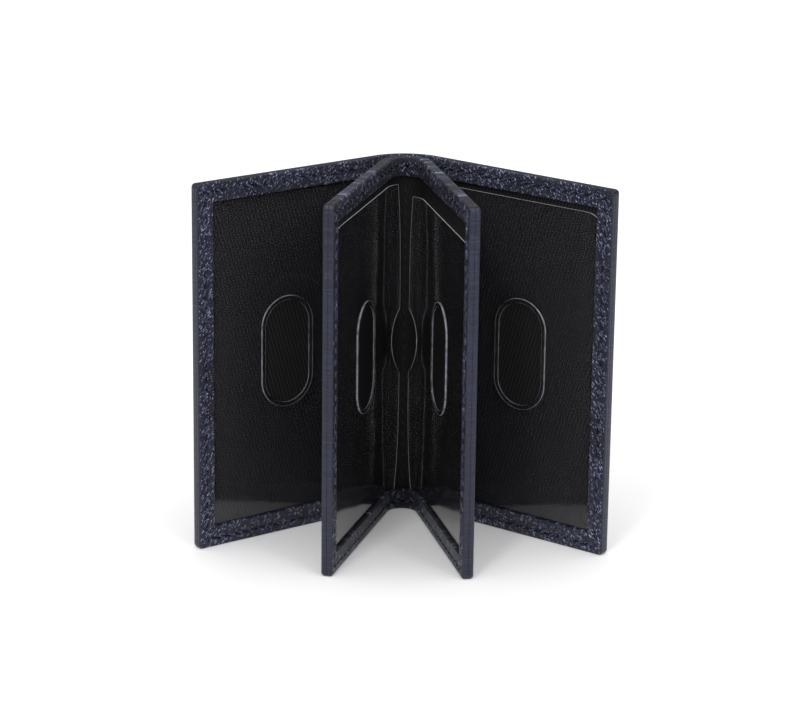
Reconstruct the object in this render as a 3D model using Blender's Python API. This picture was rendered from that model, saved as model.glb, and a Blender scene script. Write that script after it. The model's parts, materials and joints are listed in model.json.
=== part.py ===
"""Standing leather card holder: two covers and two double-sided window leaves round a soft spine.

Metres, +Z up. The holder stands on its bottom edge, spread like a fan that opens towards -Y.
The origin is the middle of its footprint, on the surface it stands on.
"""

import math

import bmesh
import bpy
from mathutils import Matrix, Vector

MM = 0.001

# Driving dimensions of the whole holder.
HEIGHT = 105 * MM
COVER_REACH = 61 * MM  # from a cover's hinge line to its free edge
LEAF_REACH = 63.5 * MM  # from the spine seam to a leaf's free edge
HINGE_HALF_SPACING = 8.6 * MM  # each cover's hinge line lies this far from the middle plane
HINGE_LINE_Y = 27.6 * MM  # puts the middle of the footprint on the origin

# How far the fan is spread at rest, in degrees from the middle plane.
COVER_ANGLE = 53.8
LEFT_LEAF_ANGLE = 15.4
RIGHT_LEAF_ANGLE = 13.9

# Sheet materials, by thickness.
COVER_LEATHER = 1.0 * MM
FRAME_LEATHER = 0.9 * MM
BOARD = 0.5 * MM
COVER_LINING = 0.2 * MM
LEAF_LINING = 0.3 * MM
COVER_FILM = 0.2 * MM
LEAF_FILM = 0.15 * MM
LAYER_GAP = 0.1 * MM  # clear space between two sheets that lie on each other
LEAF_GROOVE = 0.2 * MM  # the line that shows between a leaf's two turned edges

# The sewn leather frame round each window.
FRAME_TOP = 5.4 * MM
FRAME_BOTTOM = 6.0 * MM
FRAME_SIDE = 5.2 * MM
FRAME_START = 6.5 * MM  # a cover's frame, board and lining start this far from its hinge line
CORNER_RADIUS = 1.2 * MM
WINDOW_CORNER_RADIUS = 0.4 * MM
TURNED_EDGE = 1.5 * MM  # width of the folded-over rim that closes each edge
EDGE_CLEARANCE = 0.2 * MM

# Stitches lie in a shallow channel, flush with the leather.
STITCH_INSET = 2.4 * MM
CHANNEL_WIDTH = 0.8 * MM
CHANNEL_DEPTH = 0.45 * MM
THREAD_RADIUS = 0.2 * MM
THREAD_SINK = 0.02 * MM  # the thread lies this much lower than flush
THREAD_CORNER_RADIUS = 0.6 * MM

# Clear windows: the film's top edge is free and its outer top corner is round.
FILM_TOP = HEIGHT - 7.6 * MM
FILM_CORNER_RADIUS = 4.5 * MM
THUMB_HOLE_WIDTH = 16.2 * MM
THUMB_HOLE_HEIGHT = 32.5 * MM
THUMB_HOLE_Z = 53.0 * MM
COVER_HOLE_REACH = 31.0 * MM
LEAF_HOLE_REACH = 29.5 * MM
COVER_FILM_START = 8.0 * MM
NOTCH_RADIUS = 10.0 * MM  # half-moon in a leaf film's spine edge
NOTCH_HEIGHT = 20.2 * MM
NOTCH_REACH = 4.5 * MM
NOTCH_Z = 52.0 * MM

# The insert's soft fold, which turns from one leaf into the other.
FOLD_RADIUS = 4.2 * MM  # to the fold's inner face
FOLD_STRIP_TOP = HEIGHT - 6.3 * MM
FOLD_STRIP_BOTTOM = 6.3 * MM
FOLD_GAP = 0.3 * MM  # from the end of the fold to the leaf that carries on from it
LEAF_START_GAP = 0.8 * MM
HINGE_GAP = 0.3 * MM

# Worked out from the above.
SPINE_HALF_ARC = math.radians(90 - COVER_ANGLE)
SPINE_RADIUS = HINGE_HALF_SPACING / math.sin(SPINE_HALF_ARC)
SEAM_Y = HINGE_LINE_Y + SPINE_RADIUS * (1 - math.cos(SPINE_HALF_ARC))
SPINE_STRIP_FACE = COVER_LEATHER / 2 + COVER_LINING + FRAME_LEATHER + 2 * LAYER_GAP
LEAF_HALF = FRAME_LEATHER + LEAF_FILM + LEAF_LINING + 2 * LAYER_GAP
LEAF_THICKNESS = 2 * LEAF_HALF + LEAF_GROOVE
FOLD_CENTRE_REACH = SPINE_STRIP_FACE + LAYER_GAP + FOLD_RADIUS + LEAF_THICKNESS

# How the shapes are made.
ARC_STEPS = 8  # faces along each round end of a hole
BEND_STEPS = 24  # faces round a bend
CORNER_STEPS = 4  # faces round a small corner
SMOOTH_ANGLE = 40  # sharper edges than this stay sharp in a bend
OVERSHOOT = 1 * MM  # how far a cutter goes past the wall it cuts

COLOURS = {
    "navy_leather": ((0.021, 0.024, 0.047), 0.5),
    "black_lining": ((0.018, 0.018, 0.020), 0.85),
    "fold_lining": ((0.012, 0.008, 0.009), 0.8),
    "grey_board": ((0.16, 0.15, 0.14), 0.9),
    "clear_film": ((0.55, 0.55, 0.60), 0.1),
    "navy_thread": ((0.020, 0.022, 0.040), 0.6),
}


def clear_scene():
    for old in list(bpy.data.objects):
        bpy.data.objects.remove(old, do_unlink=True)


def make_material(name):
    colour, roughness = COLOURS[name]
    material = bpy.data.materials.new(name)
    material.use_nodes = True
    shader = material.node_tree.nodes["Principled BSDF"]
    shader.inputs["Base Color"].default_value = (*colour, 1.0)
    shader.inputs["Roughness"].default_value = roughness
    shader.inputs["Metallic"].default_value = 0.0
    return material


def make_empty(name, location, turn=0.0):
    empty = bpy.data.objects.new(name, None)
    empty.location = location
    empty.rotation_euler = (0.0, 0.0, turn)
    bpy.context.scene.collection.objects.link(empty)
    return empty


class Panel:
    """One flat panel: an empty on its hinge axis whose local X runs out to the panel's free edge.

    The side is +1 for the left panels and -1 for the right ones, so that a positive depth
    always goes towards the middle of the fan.
    """

    def __init__(self, name, side, angle, hinge):
        spread = math.radians(angle)
        turn = math.atan2(-math.cos(spread), -side * math.sin(spread))
        self.name = name
        self.side = side
        self.empty = make_empty(f"{name}_hinge", hinge, turn)


def rounded(corners, closed=True):
    """Points of an outline whose corners are (x, y, radius), with an arc at each round corner."""
    points = []
    for i, (x, y, radius) in enumerate(corners):
        here = Vector((x, y))
        inner = closed or 0 < i < len(corners) - 1
        if radius == 0 or not inner:
            points.append(here)
            continue
        before = (Vector(corners[i - 1][:2]) - here).normalized()
        after = (Vector(corners[(i + 1) % len(corners)][:2]) - here).normalized()
        half = before.angle(after) / 2
        centre = here + (before + after).normalized() * radius / math.sin(half)
        start = here + before * radius / math.tan(half) - centre
        end = here + after * radius / math.tan(half) - centre
        for step in range(CORNER_STEPS + 1):
            along = start.slerp(end, step / CORNER_STEPS)
            points.append(centre + along.normalized() * radius)
    return points


def stadium(x, y, width, height):
    """Outline of an upright slot with round ends."""
    radius = width / 2
    points = []
    for end in (1, -1):
        centre = Vector((x, y + end * (height / 2 - radius)))
        for step in range(ARC_STEPS + 1):
            turn = math.pi * step / ARC_STEPS
            points.append(centre + end * radius * Vector((math.cos(turn), math.sin(turn))))
    return points


def add_mesh(name, mesh_data, material, parent):
    mesh = bpy.data.meshes.new(name)
    bmesh.ops.recalc_face_normals(mesh_data, faces=mesh_data.faces)
    mesh_data.to_mesh(mesh)
    mesh_data.free()
    mesh.materials.append(material)
    made = bpy.data.objects.new(name, mesh)
    made.parent = parent
    bpy.context.scene.collection.objects.link(made)
    return made


def extrude_outline(points, to_3d, low, high):
    """A closed solid: the outline at the low level, extruded to the high one."""
    shape = bmesh.new()
    base = [shape.verts.new(to_3d(point, low)) for point in points]
    face = shape.faces.new(base)
    grown = bmesh.ops.extrude_face_region(shape, geom=[face])["geom"]
    shift = to_3d(points[0], high) - to_3d(points[0], low)
    for vertex in grown:
        if isinstance(vertex, bmesh.types.BMVert):
            vertex.co += shift
    return shape


def plate(name, panel, points, low, high, material):
    """A sheet in a panel: the outline is (reach, height) and it fills the depths low to high."""

    def to_3d(point, depth):
        return Vector((point[0], panel.side * depth, point[1]))

    return add_mesh(name, extrude_outline(points, to_3d, low, high), material, panel.empty)


def bend(name, parent, section, ends, material):
    """A strip bent round its parent's vertical axis: a cross-section of (radius, height) points,
    swept between two end angles that are measured from +Y."""
    shape = bmesh.new()
    rings = []
    for step in range(BEND_STEPS + 1):
        turn = ends[0] + (ends[1] - ends[0]) * step / BEND_STEPS
        rings.append(
            [
                shape.verts.new((radius * math.sin(turn), radius * math.cos(turn), height))
                for radius, height in section
            ]
        )
    for near, far in zip(rings, rings[1:]):
        for i in range(len(section)):
            k = (i + 1) % len(section)
            shape.faces.new((near[i], near[k], far[k], far[i]))
    shape.faces.new(rings[0])
    shape.faces.new(rings[-1])
    made = add_mesh(name, shape, material, parent)
    made.data.shade_smooth()
    made.data.set_sharp_from_angle(angle=math.radians(SMOOTH_ANGLE))
    return made


def box_section(inner, outer, low, high):
    return [(inner, low), (outer, low), (outer, high), (inner, high)]


def cut(target, tool):
    """Cuts a hidden helper solid out of the target."""
    tool.hide_render = True
    tool.display_type = "WIRE"
    modifier = target.modifiers.new("cut", "BOOLEAN")
    modifier.operation = "DIFFERENCE"
    modifier.solver = "EXACT"
    modifier.object = tool


def full_outline(start, reach):
    """A panel's whole sheet, with its two free corners rounded."""
    return rounded(
        [
            (start, 0, 0),
            (reach, 0, CORNER_RADIUS),
            (reach, HEIGHT, CORNER_RADIUS),
            (start, HEIGHT, 0),
        ]
    )


def frame_outline(start, reach, top, bottom, side, corner):
    """A frame open towards the spine: a top strip, a side strip and a bottom strip in one."""
    return rounded(
        [
            (start, 0, 0),
            (reach, 0, CORNER_RADIUS),
            (reach, HEIGHT, CORNER_RADIUS),
            (start, HEIGHT, 0),
            (start, HEIGHT - top, 0),
            (reach - side, HEIGHT - top, corner),
            (reach - side, bottom, corner),
            (start, bottom, 0),
        ]
    )


def channel_outline(start, reach):
    """The stitch channel, a narrow track along the top, side and bottom strips."""
    out = STITCH_INSET - CHANNEL_WIDTH / 2
    inn = STITCH_INSET + CHANNEL_WIDTH / 2
    return rounded(
        [
            (start, out, 0),
            (reach - out, out, 0),
            (reach - out, HEIGHT - out, 0),
            (start, HEIGHT - out, 0),
            (start, HEIGHT - inn, 0),
            (reach - inn, HEIGHT - inn, 0),
            (reach - inn, inn, 0),
            (start, inn, 0),
        ]
    )


def pocket_outline(start, rim_start, reach):
    """What is cut away to leave a turned edge: it is open at the spine and clear above and below it
    until rim_start, where the rim begins."""
    return rounded(
        [
            (start, -OVERSHOOT, 0),
            (rim_start, -OVERSHOOT, 0),
            (rim_start, TURNED_EDGE, 0),
            (reach - TURNED_EDGE, TURNED_EDGE, 0),
            (reach - TURNED_EDGE, HEIGHT - TURNED_EDGE, 0),
            (rim_start, HEIGHT - TURNED_EDGE, 0),
            (rim_start, HEIGHT + OVERSHOOT, 0),
            (start, HEIGHT + OVERSHOOT, 0),
        ]
    )


def inner_sheet_outline(start, reach):
    """A sheet that lies inside the turned edges."""
    edge = TURNED_EDGE + EDGE_CLEARANCE
    return rounded(
        [
            (start, edge, 0),
            (reach - edge, edge, 0),
            (reach - edge, HEIGHT - edge, 0),
            (start, HEIGHT - edge, 0),
        ]
    )


def cut_channel(target, panel, start, reach, surface, into):
    """Cuts the stitch channel into a face at depth surface. into is -1 or +1, into the leather."""
    levels = sorted((surface - into * OVERSHOOT, surface + into * CHANNEL_DEPTH))
    outline = channel_outline(start - OVERSHOOT, reach)
    cut(target, plate(f"{target.name}_channel", panel, outline, *levels, target.active_material))


def add_thread(name, panel, start, reach, surface, into, material):
    """The stitch thread in its channel, from the spine side round the free edge and back."""
    depth = panel.side * (surface + into * (THREAD_RADIUS + THREAD_SINK))
    path = rounded(
        [
            (start, STITCH_INSET, 0),
            (reach - STITCH_INSET, STITCH_INSET, THREAD_CORNER_RADIUS),
            (reach - STITCH_INSET, HEIGHT - STITCH_INSET, THREAD_CORNER_RADIUS),
            (start, HEIGHT - STITCH_INSET, 0),
        ],
        closed=False,
    )
    curve = bpy.data.curves.new(name, "CURVE")
    curve.dimensions = "3D"
    curve.bevel_depth = THREAD_RADIUS
    curve.bevel_resolution = 1
    curve.use_fill_caps = True
    spline = curve.splines.new("POLY")
    spline.points.add(len(path) - 1)
    for point, place in zip(spline.points, path):
        point.co = (place[0], depth, place[1], 1.0)
    curve.materials.append(material)
    made = bpy.data.objects.new(name, curve)
    made.parent = panel.empty
    bpy.context.scene.collection.objects.link(made)
    return made


def add_film(name, panel, start, reach, hole_reach, low, high, material):
    """A clear window with a thumb hole. Its top edge is free and its outer top corner is round."""
    edge = TURNED_EDGE + EDGE_CLEARANCE
    outline = rounded(
        [
            (start, edge, 0),
            (reach - edge, edge, 0),
            (reach - edge, FILM_TOP, FILM_CORNER_RADIUS),
            (start, FILM_TOP, 0),
        ]
    )
    film = plate(name, panel, outline, low, high, material)
    hole = stadium(hole_reach, THUMB_HOLE_Z, THUMB_HOLE_WIDTH, THUMB_HOLE_HEIGHT)
    cut(film, plate(f"{name}_hole", panel, hole, low - OVERSHOOT, high + OVERSHOOT, material))
    return film


def add_cover(panel, materials):
    """A cover, from its outside in: leather, board, lining, window film and sewn frame."""
    name = panel.name
    half = COVER_LEATHER / 2
    board = (half + LAYER_GAP, half + LAYER_GAP + BOARD)
    lining = (board[1] + LAYER_GAP, board[1] + LAYER_GAP + COVER_LINING)
    film = (lining[1] + LAYER_GAP, lining[1] + LAYER_GAP + COVER_FILM)
    frame = (film[1] + LAYER_GAP, film[1] + LAYER_GAP + FRAME_LEATHER)
    navy = materials["navy_leather"]
    leather = plate(
        f"{name}_leather", panel, full_outline(HINGE_GAP, COVER_REACH), -half, film[1], navy
    )
    outline = pocket_outline(-OVERSHOOT, FRAME_START, COVER_REACH)
    cut(leather, plate(f"{name}_pocket", panel, outline, half, film[1] + OVERSHOOT, navy))
    cut_channel(leather, panel, 0, COVER_REACH, -half, 1)
    inner = inner_sheet_outline(FRAME_START, COVER_REACH)
    plate(f"{name}_board", panel, inner, *board, materials["grey_board"])
    plate(f"{name}_lining", panel, inner, *lining, materials["black_lining"])
    clear = materials["clear_film"]
    add_film(
        f"{name}_window", panel, COVER_FILM_START, COVER_REACH, COVER_HOLE_REACH, *film, clear
    )
    outline = frame_outline(
        FRAME_START, COVER_REACH, FRAME_TOP, FRAME_BOTTOM, FRAME_SIDE, WINDOW_CORNER_RADIUS
    )
    border = plate(f"{name}_frame", panel, outline, *frame, navy)
    cut_channel(border, panel, FRAME_START, COVER_REACH, frame[1], -1)
    thread = materials["navy_thread"]
    add_thread(f"{name}_inner_thread", panel, FRAME_START, COVER_REACH, frame[1], -1, thread)
    add_thread(f"{name}_outer_thread", panel, HINGE_GAP, COVER_REACH, -half, 1, thread)


def add_leaf(panel, angle, materials):
    """A double-sided window leaf: frame, film and lining, then the same again from the back."""
    name = panel.name
    tilt = math.radians(angle)
    inner_face = FOLD_RADIUS - FOLD_CENTRE_REACH * math.sin(tilt)
    start = FOLD_CENTRE_REACH * math.cos(tilt) + LEAF_START_GAP
    middle = inner_face + LEAF_THICKNESS / 2
    for face, facing in (("front", 1), ("back", -1)):

        def levels(near, far):
            """Depths of a layer from its distances to the leaf's middle."""
            return sorted((-middle + facing * near, -middle + facing * far))

        half = LEAF_THICKNESS / 2
        frame_back = half - FRAME_LEATHER
        film_back = frame_back - LAYER_GAP - LEAF_FILM
        lining_back = film_back - LAYER_GAP - LEAF_LINING
        outline = frame_outline(
            start, LEAF_REACH, FRAME_TOP, FRAME_BOTTOM, FRAME_SIDE, WINDOW_CORNER_RADIUS
        )
        navy = materials["navy_leather"]
        border = plate(
            f"{name}_{face}_frame", panel, outline, *levels(LEAF_GROOVE / 2, half), navy
        )
        pocket = pocket_outline(start - OVERSHOOT, start - OVERSHOOT / 2, LEAF_REACH)
        cut(
            border,
            plate(f"{name}_{face}_pocket", panel, pocket, *levels(-half, frame_back), navy),
        )
        surface = -middle + facing * half
        cut_channel(border, panel, start, LEAF_REACH, surface, -facing)
        film = add_film(
            f"{name}_{face}_window",
            panel,
            start,
            LEAF_REACH,
            LEAF_HOLE_REACH,
            *levels(film_back, film_back + LEAF_FILM),
            materials["clear_film"],
        )
        notch = stadium(NOTCH_REACH, NOTCH_Z, 2 * NOTCH_RADIUS, NOTCH_HEIGHT)
        depths = levels(0, LEAF_THICKNESS)
        cut(
            film,
            plate(f"{name}_{face}_notch", panel, notch, *depths, materials["clear_film"]),
        )
        plate(
            f"{name}_{face}_lining",
            panel,
            inner_sheet_outline(start, LEAF_REACH),
            *levels(lining_back, lining_back + LEAF_LINING),
            materials["black_lining"],
        )
        thread = materials["navy_thread"]
        add_thread(f"{name}_{face}_thread", panel, start, LEAF_REACH, surface, -facing, thread)


def add_spine(materials):
    """The bend between the covers: outer leather, lining, and the frame strips that cross it."""
    centre = make_empty("spine_bend", (0, SEAM_Y - SPINE_RADIUS, 0))
    half_arc = SPINE_HALF_ARC - HINGE_GAP / SPINE_RADIUS
    ends = (-half_arc, half_arc)
    outside = SPINE_RADIUS + COVER_LEATHER / 2
    inside = SPINE_RADIUS - COVER_LEATHER / 2
    lining = inside - LAYER_GAP
    strip = lining - COVER_LINING - LAYER_GAP
    rim = lining - COVER_LINING
    section = [
        (outside, 0),
        (outside, HEIGHT),
        (rim, HEIGHT),
        (rim, HEIGHT - TURNED_EDGE),
        (inside, HEIGHT - TURNED_EDGE),
        (inside, TURNED_EDGE),
        (rim, TURNED_EDGE),
        (rim, 0),
    ]
    bend("spine_leather", centre, section, ends, materials["navy_leather"])
    edge = TURNED_EDGE + EDGE_CLEARANCE
    bend(
        "spine_lining",
        centre,
        box_section(lining - COVER_LINING, lining, edge, HEIGHT - edge),
        ends,
        materials["black_lining"],
    )
    for place, low, high in (("top", HEIGHT - FRAME_TOP, HEIGHT), ("bottom", 0, FRAME_BOTTOM)):
        section = box_section(strip - FRAME_LEATHER, strip, low, high)
        bend(f"spine_{place}_strip", centre, section, ends, materials["navy_leather"])


def add_fold(materials):
    """The insert's fold: leather strips at top and bottom, linings between, and the seam."""
    centre = make_empty("insert_fold", (0, SEAM_Y - FOLD_CENTRE_REACH, 0))
    slack = FOLD_GAP / FOLD_RADIUS
    ends = (
        -math.radians(90 - LEFT_LEAF_ANGLE) + slack,
        math.radians(90 - RIGHT_LEAF_ANGLE) - slack,
    )
    front = (FOLD_RADIUS, FOLD_RADIUS + FRAME_LEATHER)
    front_lining_face = front[1] + 2 * LAYER_GAP + LEAF_FILM
    back = (FOLD_RADIUS + LEAF_THICKNESS - FRAME_LEATHER, FOLD_RADIUS + LEAF_THICKNESS)
    back_lining_face = back[0] - 2 * LAYER_GAP - LEAF_FILM
    middle = FOLD_RADIUS + LEAF_THICKNESS / 2
    for face, strip, surface, rim in (
        ("front", front[1], front[0], middle - LEAF_GROOVE / 2),
        ("back", back[0], back[1], middle + LEAF_GROOVE / 2),
    ):
        for place, edge, inward, width in (
            ("top", HEIGHT, -1, HEIGHT - FOLD_STRIP_TOP),
            ("bottom", 0, 1, FOLD_STRIP_BOTTOM),
        ):
            section = [
                (surface, edge),
                (rim, edge),
                (rim, edge + inward * TURNED_EDGE),
                (strip, edge + inward * TURNED_EDGE),
                (strip, edge + inward * width),
                (surface, edge + inward * width),
            ]
            bend(f"fold_{face}_{place}_strip", centre, section, ends, materials["navy_leather"])
    low = TURNED_EDGE + EDGE_CLEARANCE
    for face, near in (("front", front_lining_face), ("back", back_lining_face - LEAF_LINING)):
        section = box_section(near, near + LEAF_LINING, low, HEIGHT - low)
        bend(f"fold_{face}_lining", centre, section, ends, materials["fold_lining"])
    thread = bmesh.new()
    length = FOLD_STRIP_TOP - FOLD_STRIP_BOTTOM - 2 * FOLD_GAP
    seam_reach = front_lining_face - THREAD_RADIUS - LAYER_GAP / 2
    bmesh.ops.create_cone(
        thread,
        cap_ends=True,
        segments=8,
        radius1=THREAD_RADIUS,
        radius2=THREAD_RADIUS,
        depth=length,
        matrix=Matrix.Translation((0, seam_reach, (FOLD_STRIP_TOP + FOLD_STRIP_BOTTOM) / 2)),
    )
    add_mesh("insert_seam_thread", thread, materials["navy_thread"], centre)


def main():
    clear_scene()
    materials = {name: make_material(name) for name in COLOURS}
    add_spine(materials)
    add_fold(materials)
    for name, side in (("left_cover", 1), ("right_cover", -1)):
        hinge = (-side * HINGE_HALF_SPACING, HINGE_LINE_Y, 0)
        add_cover(Panel(name, side, COVER_ANGLE, hinge), materials)
    for name, side, angle in (
        ("left_leaf", 1, LEFT_LEAF_ANGLE),
        ("right_leaf", -1, RIGHT_LEAF_ANGLE),
    ):
        add_leaf(Panel(name, side, angle, (0, SEAM_Y, 0)), angle, materials)


main()
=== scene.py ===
# %% [markdown]
# This lesson dresses a small leather card holder that stands open like a fan. The real one is cut
# flat from leather, lining cloth and clear film, sewn on the table, and folded up round a soft
# spine. The pieces here are made in that order too: each is modelled flat with ordinary edit-mode
# tools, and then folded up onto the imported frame, which holds the true sizes and moving bodies.

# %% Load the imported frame
import json
import math

import bmesh
import bpy
from mathutils import Matrix, Vector

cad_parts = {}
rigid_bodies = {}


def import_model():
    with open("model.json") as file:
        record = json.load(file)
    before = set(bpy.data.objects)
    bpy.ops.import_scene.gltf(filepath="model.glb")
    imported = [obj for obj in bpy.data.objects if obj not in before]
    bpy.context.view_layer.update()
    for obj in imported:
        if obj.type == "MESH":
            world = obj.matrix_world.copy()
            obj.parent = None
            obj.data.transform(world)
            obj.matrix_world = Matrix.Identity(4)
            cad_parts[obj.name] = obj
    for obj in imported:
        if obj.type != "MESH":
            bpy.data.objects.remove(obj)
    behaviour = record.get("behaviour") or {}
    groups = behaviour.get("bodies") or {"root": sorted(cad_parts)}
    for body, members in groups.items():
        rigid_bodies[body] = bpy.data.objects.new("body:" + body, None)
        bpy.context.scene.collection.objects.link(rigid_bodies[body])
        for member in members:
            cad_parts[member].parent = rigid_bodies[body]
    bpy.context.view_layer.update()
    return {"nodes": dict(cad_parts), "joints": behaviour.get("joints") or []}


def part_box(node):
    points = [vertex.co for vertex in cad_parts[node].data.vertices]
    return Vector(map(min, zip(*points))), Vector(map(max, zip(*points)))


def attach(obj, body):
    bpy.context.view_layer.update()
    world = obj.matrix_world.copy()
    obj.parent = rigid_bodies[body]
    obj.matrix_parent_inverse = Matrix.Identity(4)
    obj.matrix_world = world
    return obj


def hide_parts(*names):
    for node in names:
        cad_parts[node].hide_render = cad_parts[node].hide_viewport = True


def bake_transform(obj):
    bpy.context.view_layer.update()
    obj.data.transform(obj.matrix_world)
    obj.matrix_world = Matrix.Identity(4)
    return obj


for old in list(bpy.data.objects):
    bpy.data.objects.remove(old)
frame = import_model()

# %% [markdown]
# Sizes come first, in millimetres, with the same names as on a cutting list. Places that the
# frame knows, such as the height and the hinge lines, are read from it instead of typed again.

# %% Cutting list
MM = 0.001
TINY = 0.01 * MM
UP = Vector((0, 0, 1))

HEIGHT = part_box("left_cover_leather")[1].z
HINGES = {joint["name"]: Vector(joint["pos_m"]) for joint in frame["joints"]}
SEAM = HINGES["left_leaf_hinge"]
SPINE_HALF_WIDTH = HINGES["right_cover_hinge"].x

COVER_REACH = 61.0 * MM
LEAF_REACH = 63.5 * MM
COVER_ANGLE = 53.8
LEAF_ANGLES = {"left": 15.4, "right": 13.9}
SIDES = {"left": -1, "right": 1}

COVER_LEATHER = 1.0 * MM
COVER_RIM = 1.2 * MM
FRAME_LEATHER = 0.9 * MM
LEAF_RIM = 0.74 * MM  # the two halves of a leaf almost touch
LEAF_THICKNESS = 3.3 * MM
FRAME_TOP = 5.4 * MM
FRAME_BOTTOM = 6.0 * MM
FRAME_SIDE = 5.2 * MM
LEAF_FRAME_SIDE = 4.1 * MM
FRAME_START = 6.5 * MM  # from the hinge to where a frame lies quite flat
CORNER_RADIUS = 1.2 * MM
TURNED_EDGE = 1.5 * MM
CHANNEL_WIDTH = 0.8 * MM
CHANNEL_DEPTH = 0.25 * MM
STITCH_INSET = 2.4 * MM
BEND_CUTS = 16  # how finely a piece is cut across where it wraps round the spine
START_CUTS = 8  # and from there to where it lies flat
FOLD_CENTRE = 9.4 * MM  # from the seam to the middle of the insert's fold
FOLD_RADIUS = 4.2 * MM  # to the fold's inner face

print(f"height {HEIGHT / MM:.1f} mm, seam at y {SEAM.y / MM:.2f} mm")

# %% [markdown]
# A flat piece has three measures: its reach out from the hinge, its height, and its depth in the
# stack of layers. Whatever lies behind the hinge, at a negative reach, wraps round the spine. The
# next two helpers turn those measures into a place in space. Doing the folding with a formula keeps
# every layer exactly parallel to its neighbours, which a bend made by eye wouldn't.

# %% The four panels and the way a flat piece folds onto them
SPINE_RADIUS = SPINE_HALF_WIDTH / math.cos(math.radians(COVER_ANGLE))


def make_panel(side, angle, hinge, outward, bend_depth):
    """Where a panel stands: its hinge line, the way to its free edge, and the axis of its bend."""
    turn = math.radians(angle)
    out = Vector((side * math.sin(turn), -math.cos(turn), 0))
    inward = Vector((-side * math.cos(turn), -math.sin(turn), 0))
    return {
        "side": side,
        "hinge": hinge,
        "out": out,
        "deep": -inward if outward else inward,
        "bend_depth": bend_depth,
        "bend": math.radians(90 - angle),
    }


def place(panel, reach, height, depth, wrap):
    """The point of a panel at that reach, height and depth. wrap is the length of the piece that
    goes round the bend."""
    if reach >= 0:
        return panel["hinge"] + panel["out"] * reach + panel["deep"] * depth + UP * height
    centre = panel["hinge"] + panel["deep"] * panel["bend_depth"]
    turn = Matrix.Rotation(-panel["side"] * panel["bend"] * reach / wrap, 3, "Z")
    return centre + turn @ (panel["deep"] * (depth - panel["bend_depth"])) + UP * height


panels = {}
faces_of = {}  # depth of a leaf's front face, from the plane through its hinge
for name, side in SIDES.items():
    panels[f"{name}_cover"] = make_panel(
        side, COVER_ANGLE, HINGES[f"{name}_cover_hinge"], False, SPINE_RADIUS
    )
    lean = math.radians(LEAF_ANGLES[name])
    leaf = make_panel(side, LEAF_ANGLES[name], SEAM.copy(), True, -FOLD_CENTRE * math.sin(lean))
    leaf["hinge"] += leaf["out"] * FOLD_CENTRE * math.cos(lean)
    panels[f"{name}_leaf"] = leaf
    faces_of[name] = FOLD_RADIUS - FOLD_CENTRE * math.sin(lean)
LEAF_FLAT_REACH = LEAF_REACH - FOLD_CENTRE * math.cos(math.radians(LEAF_ANGLES["left"]))
print("panels:", ", ".join(panels))

# %% [markdown]
# Three helpers do what a hand does in Blender: open a piece in edit mode, pick some of its points,
# edges or faces by where they are, and go back to object mode. Everything is deselected first,
# because an operator works on all that is selected.

# %% Helpers for edit mode
SHARP_ANGLE = 40  # degrees: faces that meet at a smaller angle are shaded as one smooth surface
FILM_SHARP_ANGLE = 30
SELECT_MODE = {"verts": "VERT", "edges": "EDGE", "faces": "FACE"}


def open_piece(piece):
    bpy.ops.object.select_all(action="DESELECT")
    piece.select_set(True)
    bpy.context.view_layer.objects.active = piece
    bpy.ops.object.mode_set(mode="EDIT")
    bpy.ops.mesh.select_mode(type="FACE")
    bpy.ops.mesh.select_all(action="SELECT")


def pick(piece, kind, test):
    """Selects only the verts, edges or faces that pass the test."""
    bpy.ops.mesh.select_mode(type=SELECT_MODE[kind])
    bpy.ops.mesh.select_all(action="DESELECT")
    mesh = bmesh.from_edit_mesh(piece.data)
    for item in getattr(mesh, kind):
        if test(item):
            item.select_set(True)
    bmesh.update_edit_mesh(piece.data)


def close_piece(piece, sharp_angle=SHARP_ANGLE):
    """Back to object mode with all faces pointing outwards and smooth shading up to that angle."""
    bpy.ops.mesh.select_all(action="SELECT")
    bpy.ops.mesh.remove_doubles(threshold=TINY / 2)
    bpy.ops.mesh.normals_make_consistent(inside=False)
    bpy.ops.object.mode_set(mode="OBJECT")
    bpy.ops.object.shade_smooth_by_angle(angle=math.radians(sharp_angle))
    print(f"{piece.name}: {len(piece.data.polygons)} faces")
    return piece


def raise_by(distance):
    bpy.ops.mesh.extrude_region_move(TRANSFORM_OT_translate={"value": (0, 0, distance)})


def cut_across(start, end, steps):
    """Cuts all of a piece across at even steps of reach, so that it can bend there."""
    for i in range(steps + 1):
        bpy.ops.mesh.select_all(action="SELECT")
        reach = start + (end - start) * i / steps
        bpy.ops.mesh.bisect(plane_co=(reach, 0, 0), plane_no=(1, 0, 0))


# %% [markdown]
# A blank is a flat rectangle that lies on the table, with its hinge side open. A plane primitive
# is the natural start: it has one face, and everything else is extruded or inset from that.

# %% Flat blanks
def flat_blank(name, left, right, bottom, top):
    bpy.ops.object.select_all(action="DESELECT")
    bpy.ops.mesh.primitive_plane_add(size=1, location=((left + right) / 2, (bottom + top) / 2, 0))
    blank = bpy.context.object
    blank.name = name
    blank.scale = (right - left, top - bottom, 1)
    bpy.ops.object.transform_apply(location=True, rotation=True, scale=True)
    return blank


def from_edge(point, reach):
    """Distance of a point from the nearest of a piece's three outer edges."""
    return min(point.y, HEIGHT - point.y, reach - point.x)


# %% [markdown]
# All the leather is made the same way: skived, folded over at its outer edges and sewn close to
# the fold, with the thread pulled down into a shallow channel. Insetting the blank draws the fold
# line and the channel's two sides, an extrusion gives the thickness, a second one makes the turned
# rim, and a third presses the channel in. Bevels then round the edges as the fold does.

# %% Leather with turned and sewn edges
CUT_SPARE = 20 * MM  # the blank is this much longer at the hinge end, and is then trimmed
COVER_ROUND = 0.6 * MM  # roundness of the turned edges
FRAME_ROUND = 0.4 * MM
LEAF_ROUND = 0.8 * MM
MEETING_ROUND = 0.1 * MM  # of an edge that another turned edge lies against
WINDOW_ROUND = 0.25 * MM


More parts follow.
